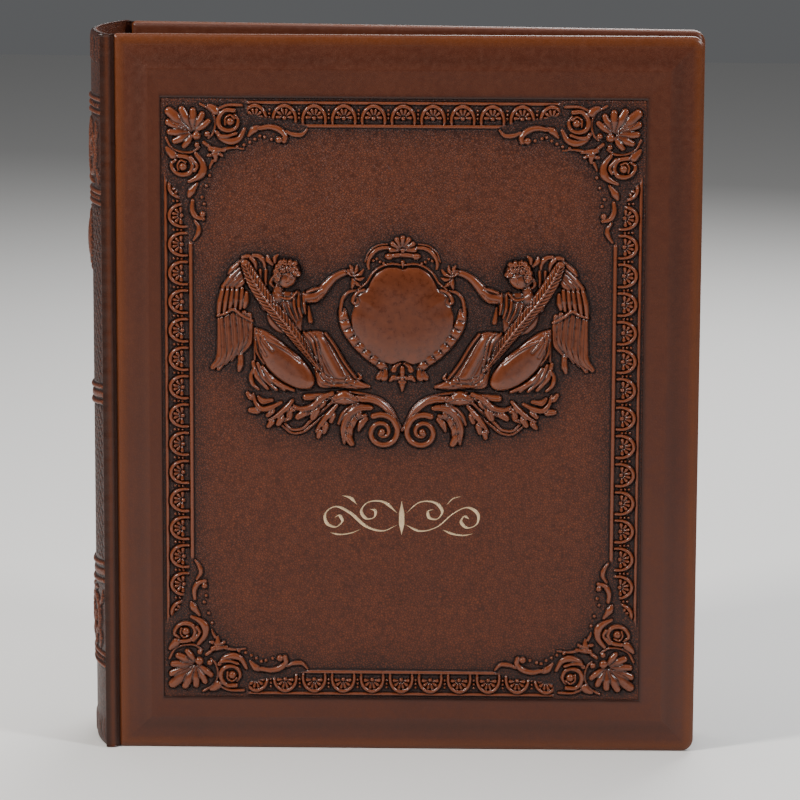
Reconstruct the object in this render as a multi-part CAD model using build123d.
from build123d import *
import math
import os

# A leather-bound ring album for stamps, closed, standing on its tail edge.
# The spine is at -X, the front cover faces -Y, and +Z is up.

# --- Driving dimensions, mm ---------------------------------------------------
HEIGHT = 320.0            # covers and spine, tail to head
COVER_WIDTH = 257.0       # spine edge to fore edge of a cover
SPINE_DEPTH = 68.0        # outside of front cover to outside of rear cover, at the spine
FORE_DEPTH = 38.0         # the same at the fore edge: the album is wedge shaped
SPINE_BULGE = 9.5         # how far the rounded spine stands out past its edges

# Cover layers, from the outside in
SKIN = 1.2                # leather on the outer face and round the edges
PADDING = 2.4
BOARD = 2.8
TURN_IN = 1.0             # leather folded over onto the inner face
LINING = 0.6
TURN_IN_WIDTH = 15.0
LINING_INSET = 5.0
BEVEL_DROP = 1.5          # the border slopes down by this much towards the edge
BEVEL_START = 4.4         # from the edge to the foot of the slope
BEVEL_END = 15.0          # from the edge to the top of the slope
CORNER_RADIUS = 5.5       # fore-edge corners of a cover

# Sunk panel in the front cover, measured from the cover's spine edge and tail
PANEL_LEFT = 20.7
PANEL_RIGHT = 232.0
PANEL_TAIL = 24.0
PANEL_HEAD = 292.4
PANEL_DEPTH = 0.9

# Leather joint between spine and cover
JOINT_RADIUS = 2.0        # the rolled strip of leather that the cover turns about
JOINT_SKIN = 2.2          # outer face of a closed cover to the joint's axis
JOINT_GAP = 2.5           # joint's axis to the cover's spine edge, and to the spine's edge

# Spine layers, from the outside in
SPINE_SKIN = 1.3
SPINE_BOARD = 2.2
SPINE_LINING = 0.7

# Ring mechanism
PLATE_LENGTH = 284.0
PLATE_WIDTH = 30.0
PLATE_HEIGHT = 5.4
PLATE_SHEET = 1.0
PLATE_STANDOFF = 0.05     # plate's feet to the spine lining that they rest on
BLADE_LENGTH = 262.0
BLADE_SHEET = 1.2
BLADE_RISE = 1.6          # plate's foot to the underside of a blade
EDGE_FLAT = 0.01          # left flat between the two rounds of a blade's outer edge
BLADE_GAP = 0.3           # between the blades, and from a blade to the plate's wall
RING_RADIUS = 18.0        # to the middle of the wire
RING_DROP = 1.0           # ring's circle dips this far past the top of the blades
RING_FOOT = 2.0           # middle plane to where a ring's foot starts on its blade
WIRE_RADIUS = 1.4
WIRE_SLOT_HEIGHT = 4.4    # slot in the plate that a wire comes out of
WIRE_SLOT_LENGTH = 9.6    # long enough for the slanting wire and its swing
WIRE_SLOT_DEPTH = 1.2     # below the crown, where the slot's middle meets the wire's
RING_SPACING = 80.0
RING_COUNT = 4
RIVET_RADIUS = 2.0
RIVET_INSET = 16.0        # plate's end to a rivet
LEVER_PIN_RADIUS = 1.0
LEVER_CLEARANCE = 0.06
LEVER_PIN_INSET = 5.0     # plate's end to a lever's pin
LEVER_WIDTH = 14.0
LEVER_SHEET = 1.4
LEVER_REACH = 11.0        # how far a lever stands out past the plate's end
LEVER_TAB = 6.0           # height of the lever's finger tab
LEVER_REST = 30.0         # a lever at rest stands up from the plate by this many degrees
LEVER_NOTCH = 9.0         # cut back of the plate's crown at each end
LEVER_SIDE = 0.8          # between a lever and the notch's sides

# Stock leaves
LEAF_COUNT = 8
LEAF_PITCH = 2.3
LEAF_CARD = 0.9
LEAF_HEIGHT = 297.0
LEAF_MARGIN = 12.0        # punched holes to the leaf's bound edge
LEAF_REACH = 214.0        # punched holes to the leaf's fore edge
LEAF_HOLE_RADIUS = 3.5
LEAF_CORNER = 4.0
LEAF_NOTCH_WIDTH = 4.5     # cut from the bound edge at head and tail, clear of the levers
LEAF_NOTCH_HEIGHT = 17.0
STRIP_COUNT = 7
STRIP_FILM = 0.25
STRIP_WIDTH = 196.0
STRIP_HEIGHT = 34.0
STRIP_PITCH = 40.0

# --- Worked-out places --------------------------------------------------------
WEDGE = math.degrees(math.asin((SPINE_DEPTH - FORE_DEPTH) / 2 / (COVER_WIDTH + JOINT_GAP)))
JOINT_Y = SPINE_DEPTH / 2 - JOINT_SKIN
COVER_DEPTH = SKIN + PADDING + BOARD + TURN_IN + LINING
SPINE_RADIUS = ((SPINE_DEPTH / 2) ** 2 + SPINE_BULGE**2) / (2 * SPINE_BULGE)
SPINE_CENTRE = SPINE_RADIUS - SPINE_BULGE - JOINT_GAP
SPINE_WALL = SPINE_SKIN + SPINE_BOARD + SPINE_LINING
LINING_RADIUS = SPINE_RADIUS - SPINE_WALL
# The flat-footed plate rests on the hollow lining along its two long feet.
FOOT_X = SPINE_CENTRE - math.sqrt(LINING_RADIUS**2 - (PLATE_WIDTH / 2) ** 2) + PLATE_STANDOFF
BLADE_X = FOOT_X + BLADE_RISE
BLADE_TOP = BLADE_X + BLADE_SHEET
RING_X = BLADE_TOP + RING_RADIUS - RING_DROP
BLADE_OUTER = PLATE_WIDTH / 2 - PLATE_SHEET - BLADE_GAP
# A blade turns about the round of its outer edge.
BLADE_PIVOT = BLADE_OUTER - BLADE_SHEET / 2
MIDDLE = HEIGHT / 2
LEFT_X = -JOINT_GAP - SPINE_BULGE
# The cover's outermost corner, turned in by the wedge angle about the joint.
FORE_X = (JOINT_GAP + COVER_WIDTH) * math.cos(math.radians(WEDGE)) + (
    COVER_DEPTH - JOINT_SKIN
) * math.sin(math.radians(WEDGE))
# Everything is drawn with the joints at X = 0, then moved so that the origin is
# at the middle of the box and on the floor.
TO_ORIGIN = Pos(-(LEFT_X + FORE_X) / 2, 0, 0)


def block(low, high):
    """A box from its lowest to its highest corner."""
    size = [b - a for a, b in zip(low, high)]
    return Pos(*low) * Box(*size, align=(Align.MIN, Align.MIN, Align.MIN))


def ring_heights():
    """Heights of the four rings, evenly spaced about the middle."""
    first = MIDDLE - RING_SPACING * (RING_COUNT - 1) / 2
    return [first + RING_SPACING * k for k in range(RING_COUNT)]


def write(node, shape):
    """Move a finished node to the album's origin and write it."""
    export_step(TO_ORIGIN * shape, f"parts/{node}.step")


# --- Covers -------------------------------------------------------------------
# A cover is drawn flat: X from its joint's axis, Z up, and depth into the album
# along +Y, with Y = 0 at the leather's outer face.


def cover_outline(inset):
    """A cover's outline in the XZ plane, shrunk by inset, fore-edge corners round."""
    width = COVER_WIDTH - 2 * inset
    height = HEIGHT - 2 * inset
    flat = Rectangle(width, height)
    fore = flat.vertices().sort_by(Axis.X)[-2:]
    flat = fillet(fore, max(CORNER_RADIUS - inset, 1.0))
    return Plane.XZ * Pos(JOINT_GAP + COVER_WIDTH / 2, MIDDLE) * flat


def slab(inset, near, far):
    """A cover layer of the given inset between two depths."""
    face = Pos(0, far, 0) * cover_outline(inset)
    return extrude(face, far - near, dir=(0, -1, 0))


def bevelled(inset, near, far):
    """A layer whose outer face slopes down towards its edges."""
    foot = Pos(0, near + BEVEL_DROP, 0) * cover_outline(inset + BEVEL_START)
    top = Pos(0, near, 0) * cover_outline(inset + BEVEL_END)
    return slab(inset, near + BEVEL_DROP, far) + loft([foot, top])


def cover_window(near, far):
    """The area of the inner face inside the turned-in leather."""
    return slab(TURN_IN_WIDTH, near, far)


def cover_pieces(with_panel):
    """Leather, padding, board and lining of one cover, drawn flat."""
    padding_top = SKIN
    board_top = padding_top + PADDING
    turn_in_top = board_top + BOARD
    lining_top = turn_in_top + TURN_IN
    padding = bevelled(SKIN, padding_top, board_top)
    board = slab(SKIN, board_top, turn_in_top)
    leather = bevelled(0, 0, lining_top) - padding - board
    leather -= cover_window(turn_in_top, lining_top)
    if with_panel:
        leather -= block(
            (JOINT_GAP + PANEL_LEFT, -1, PANEL_TAIL), (JOINT_GAP + PANEL_RIGHT, PANEL_DEPTH, PANEL_HEAD)
        )
    lining = cover_window(turn_in_top, lining_top)
    lining += slab(LINING_INSET, lining_top, COVER_DEPTH)
    return {"leather": leather, "padding": padding, "board": board, "lining": lining}


def place_front(flat):
    """Hang a flat cover on the front joint, turned in by the wedge angle."""
    return Pos(0, -JOINT_Y, 0) * Rot(0, 0, WEDGE) * Pos(0, -JOINT_SKIN, 0) * flat


def make_covers():
    for node, flat in cover_pieces(with_panel=True).items():
        write(f"front_{node}", place_front(flat))
    for node, flat in cover_pieces(with_panel=False).items():
        write(f"rear_{node}", mirror(place_front(flat), about=Plane.XZ))


# --- Spine --------------------------------------------------------------------


def spine_shell(outer, inner, low, high):
    """A curved layer of the spine between two radii and two heights."""
    ring = Circle(outer) - Circle(inner)
    wall = extrude(Pos(SPINE_CENTRE, 0, low) * ring, high - low)
    keep = block((LEFT_X - 1, -SPINE_DEPTH, low), (-JOINT_GAP, SPINE_DEPTH, high))
    return wall & keep


def joint_strip(side):
    """The rolled leather of a joint, with the web that ties it to the spine."""
    y = side * JOINT_Y
    roll = extrude(Pos(0, y, 0) * Circle(JOINT_RADIUS), HEIGHT)
    web = block((-JOINT_GAP, y - JOINT_RADIUS / 2, 0), (0, y + JOINT_RADIUS / 2, HEIGHT))
    return roll + web


def make_spine():
    board_outer = SPINE_RADIUS - SPINE_SKIN
    lining_outer = board_outer - SPINE_BOARD
    board = spine_shell(board_outer, lining_outer, SPINE_SKIN, HEIGHT - SPINE_SKIN)
    leather = spine_shell(SPINE_RADIUS, board_outer, 0, HEIGHT)
    # The leather turns over the board's head and tail.
    leather += spine_shell(board_outer, lining_outer, 0, SPINE_SKIN)
    leather += spine_shell(board_outer, lining_outer, HEIGHT - SPINE_SKIN, HEIGHT)
    lining = spine_shell(lining_outer, LINING_RADIUS, LINING_INSET, HEIGHT - LINING_INSET)
    holes = rivet_cores()
    write("spine_leather", leather)
    write("spine_board", board - holes)
    write("spine_lining", lining - holes)
    write("front_joint", joint_strip(-1))
    write("rear_joint", joint_strip(1))


# --- Ring mechanism -----------------------------------------------------------


def plate_ends():
    return MIDDLE - PLATE_LENGTH / 2, MIDDLE + PLATE_LENGTH / 2


def across(x, z, radius, length):
    """A round bar along Y, centred on the album's middle plane."""
    return Pos(x, 0, z) * Rot(90, 0, 0) * Cylinder(radius, length)


def along_x(y, z, radius, start, end):
    """A round bar along X between two places."""
    return Pos((start + end) / 2, y, z) * Rot(0, 90, 0) * Cylinder(radius, end - start)


def rivet_heights():
    low, high = plate_ends()
    return [low + RIVET_INSET, high - RIVET_INSET]


def rivet_cores():
    """The rivets' shanks, from inside the spine board to the plate's crown."""
    start = LEFT_X + SPINE_SKIN + 0.2
    crown = FOOT_X + PLATE_HEIGHT
    shanks = [along_x(0, z, RIVET_RADIUS, start, crown) for z in rivet_heights()]
    return shanks[0] + shanks[1]


def rivets():
    head = 0.8
    crown = FOOT_X + PLATE_HEIGHT
    caps = [along_x(0, z, RIVET_RADIUS * 1.8, crown, crown + head) for z in rivet_heights()]
    return rivet_cores() + caps[0] + caps[1]


def lever_pin_places():
    low, high = plate_ends()
    x = FOOT_X + PLATE_HEIGHT / 2
    return [(x, low + LEVER_PIN_INSET), (x, high - LEVER_PIN_INSET)]


def lever_pins():
    pins = [across(x, z, LEVER_PIN_RADIUS, PLATE_WIDTH) for x, z in lever_pin_places()]
    return pins[0] + pins[1]


def cover_plate():
    """A channel, open towards the spine, with holes for the wires and rivets."""
    low, high = plate_ends()
    half = PLATE_WIDTH / 2
    crown = FOOT_X + PLATE_HEIGHT
    outer = block((FOOT_X, -half, low), (crown, half, high))
    outer = fillet(outer.edges().filter_by(Axis.Z).group_by(Axis.X)[-1], 2.0)
    inside = half - PLATE_SHEET
    plate = outer - block((FOOT_X - 1, -inside, low), (crown - PLATE_SHEET, inside, high))
    slot = WIRE_SLOT_LENGTH / 2
    wire_y = math.sqrt(RING_RADIUS**2 - (RING_X - crown + WIRE_SLOT_DEPTH) ** 2)
    for z in ring_heights():
        for middle in (-wire_y, wire_y):
            plate -= block(
                (crown - 2, middle - slot, z - WIRE_SLOT_HEIGHT / 2),
                (crown + 1, middle + slot, z + WIRE_SLOT_HEIGHT / 2),
            )
    notch = LEVER_WIDTH / 2 + LEVER_SIDE
    for z0, z1 in ((low, low + LEVER_NOTCH), (high - LEVER_NOTCH, high)):
        plate -= block((crown - 2, -notch, z0), (crown + 1, notch, z1))
    return plate - rivet_cores() - lever_pins()


def blade(side):
    """One flat spring blade: the front one has side -1, the rear one 1."""
    low = MIDDLE - BLADE_LENGTH / 2
    near = BLADE_GAP / 2
    y0, y1 = sorted((side * near, side * BLADE_OUTER))
    flat = block((BLADE_X, y0, low), (BLADE_TOP, y1, low + BLADE_LENGTH))
    upright = flat.edges().filter_by(Axis.Z).sort_by(Axis.Y)
    outer_edges = upright[:2] if side < 0 else upright[-2:]
    flat = fillet(outer_edges, BLADE_SHEET / 2 - EDGE_FLAT)
    for z in rivet_heights():
        flat -= along_x(0, z, RIVET_RADIUS + 1.0, BLADE_X - 1, BLADE_TOP + 1)
    return flat


def half_ring(side, z):
    """Half of a round wire ring, cut off flat where it is riveted to its blade."""
    ring = Pos(RING_X, 0, z) * Torus(RING_RADIUS, WIRE_RADIUS)
    reach = RING_RADIUS + 2 * WIRE_RADIUS
    y0, y1 = sorted((side * BLADE_GAP / 2, side * reach))
    half = ring & block((BLADE_TOP, y0, z - reach), (RING_X + reach, y1, z + reach))
    return half - block((BLADE_TOP - 1, -RING_FOOT, z - reach), (RING_X, RING_FOOT, z + reach))


def half_rings(side):
    return Compound([half_ring(side, z) for z in ring_heights()])


def lever(end):
    """A trigger lever: a flat tongue on its pin, ending in a turned-up finger tab."""
    high = plate_ends()[1]
    pin_x, pin_z = lever_pin_places()[1]
    half = LEVER_WIDTH / 2
    x0 = pin_x - LEVER_SHEET / 2
    tongue = block((x0, -half, pin_z - 3.0), (x0 + LEVER_SHEET, half, high + LEVER_REACH))
    tab = block(
        (x0, -half, high + LEVER_REACH - LEVER_SHEET), (x0 + LEVER_TAB, half, high + LEVER_REACH)
    )
    eye = across(pin_x, pin_z, LEVER_PIN_RADIUS + 1.0, LEVER_WIDTH)
    shape = tongue + tab + eye
    shape -= across(pin_x, pin_z, LEVER_PIN_RADIUS + LEVER_CLEARANCE, PLATE_WIDTH)
    pin = Pos(pin_x, 0, pin_z)
    shape = pin * Rot(0, LEVER_REST, 0) * pin.inverse() * shape
    if end == "tail":
        shape = mirror(shape, about=Plane((0, 0, MIDDLE), z_dir=(0, 0, 1)))
    return shape


def make_mechanism():
    write("ring_cover_plate", cover_plate())
    write("plate_rivets", rivets())
    write("lever_pins", lever_pins())
    write("head_lever", lever("head"))
    write("tail_lever", lever("tail"))
    for name, side in (("front", -1), ("rear", 1)):
        write(f"{name}_blade", blade(side))
        write(f"{name}_half_rings", half_rings(side))


# --- Stock leaves -------------------------------------------------------------


def leaf_hole_x(y):
    """Where a leaf at depth y hangs on the rings."""
    return RING_X + math.sqrt(RING_RADIUS**2 - y**2)


def leaf_card(y):
    hole_x = leaf_hole_x(y)
    left = hole_x - LEAF_MARGIN
    width = LEAF_MARGIN + LEAF_REACH
    sheet = Rectangle(width, LEAF_HEIGHT)
    sheet = fillet(sheet.vertices(), LEAF_CORNER)
    for z in ring_heights():
        sheet -= Pos(hole_x - left - width / 2, z - MIDDLE) * Circle(LEAF_HOLE_RADIUS)
    for end in (-1, 1):
        notch_z = end * (LEAF_HEIGHT - LEAF_NOTCH_HEIGHT) / 2
        notch = Rectangle(LEAF_NOTCH_WIDTH, LEAF_NOTCH_HEIGHT)
        sheet -= Pos((LEAF_NOTCH_WIDTH - width) / 2, notch_z) * notch
    face = Plane.XZ * Pos(left + width / 2, MIDDLE) * sheet
    return Pos(0, y + LEAF_CARD / 2, 0) * extrude(face, LEAF_CARD)


def leaf_strips(y):
    """Clear pocket strips on both faces of a leaf."""
    right = leaf_hole_x(y) + LEAF_REACH - 8.0
    first = MIDDLE - STRIP_PITCH * (STRIP_COUNT - 1) / 2
    strips = []
    for k in range(STRIP_COUNT):
        z = first + STRIP_PITCH * k
        for near in (y - LEAF_CARD / 2 - STRIP_FILM, y + LEAF_CARD / 2):
            strips.append(
                block(
                    (right - STRIP_WIDTH, near, z - STRIP_HEIGHT / 2),
                    (right, near + STRIP_FILM, z + STRIP_HEIGHT / 2),
                )
            )
    return Compound(strips)


def make_leaves():
    for k in range(LEAF_COUNT):
        y = LEAF_PITCH * (k - (LEAF_COUNT - 1) / 2)
        write(f"leaf_{k + 1}_card", leaf_card(y))
        write(f"leaf_{k + 1}_strips", leaf_strips(y))


def main():
    os.makedirs("parts", exist_ok=True)
    make_covers()
    make_spine()
    make_mechanism()
    make_leaves()
    axis_x = -(LEFT_X + FORE_X) / 2
    print("joint axes at X", axis_x, "Y", -JOINT_Y, JOINT_Y, "wedge", WEDGE)
    print("ring circle at X", axis_x + RING_X, "blade pivots X", axis_x + BLADE_X + BLADE_SHEET / 2)
    print("blade pivots Y", BLADE_PIVOT, "lever pins", axis_x + lever_pin_places()[0][0])
    print("lever pin heights", [z for _, z in lever_pin_places()])


main()
